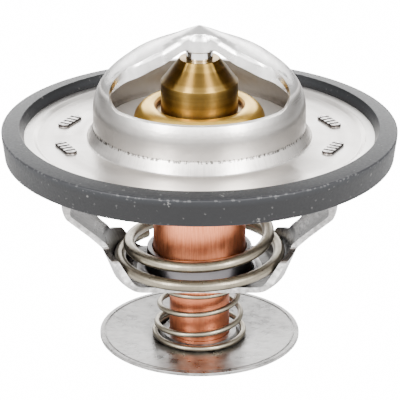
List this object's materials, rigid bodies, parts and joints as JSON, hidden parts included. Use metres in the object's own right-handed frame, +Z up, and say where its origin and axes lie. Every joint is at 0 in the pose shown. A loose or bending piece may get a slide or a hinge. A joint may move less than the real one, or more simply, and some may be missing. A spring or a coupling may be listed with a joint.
{
  "type": "engine thermostat",
  "caption": "Wax-element engine thermostat: sprung main valve under a bridged flange with a rubber seal, and a sprung bypass disc below that closes the bypass port.",
  "frame": {"origin": "underside of the bypass disc, on the axis of the element; the lowest point of the part", "axes": "+Z up along the element from the bypass disc to the bridge; X along the bridge strip and the two arms of the lower frame; Y through the two windows of the bridge"},
  "size_m": [0.0674, 0.0674, 0.0574],
  "materials": {
    "stainless_sheet": "bright drawn stainless, satin on the plate and brighter on the dome",
    "seal_rubber": "moulded, matte, dark grey with light dust",
    "frame_steel": "satin stainless strip",
    "polished_steel": "ground and polished",
    "washer_plastic": "white fluoroplastic",
    "inner_rubber": "black moulded rubber",
    "spring_steel": "drawn spring wire, faintly yellow grey",
    "turned_brass": "turned bright",
    "crimp_brass": "pressed, satin",
    "copper": "drawn copper, bright orange brown",
    "wax": "wax loaded with copper powder",
    "disc_steel": "plated steel, mottled matte grey"
  },
  "bodies": {
    "frame": {"flange_bridge": "stainless_sheet", "seal_ring": "seal_rubber", "lower_frame": "frame_steel", "piston": "polished_steel", "anti_extrusion_washer": "washer_plastic", "rubber_plug": "inner_rubber", "main_spring": "spring_steel"},
    "element": {"guide": "turned_brass", "crimp_collar": "crimp_brass", "element_cup": "copper", "wax_charge": "wax", "diaphragm": "inner_rubber", "main_valve_disc": "stainless_sheet", "retaining_clip": "spring_steel", "bypass_spring": "spring_steel"},
    "bypass": {"bypass_disc": "disc_steel"}
  },
  "joints": [
    {"name": "main_valve_slide", "type": "slide", "parent": "frame", "child": "element", "axis": [0, 0, -1], "range_m": [0, 0.008], "stiffness_N_per_m": 5000, "springref_m": -0.0005, "deforming": ["main_spring"]},
    {"name": "bypass_slide", "type": "slide", "parent": "element", "child": "bypass", "axis": [0, 0, 1], "range_m": [0, 0.005], "stiffness_N_per_m": 800, "springref_m": -0.0025, "deforming": ["bypass_spring"]}
  ]
}
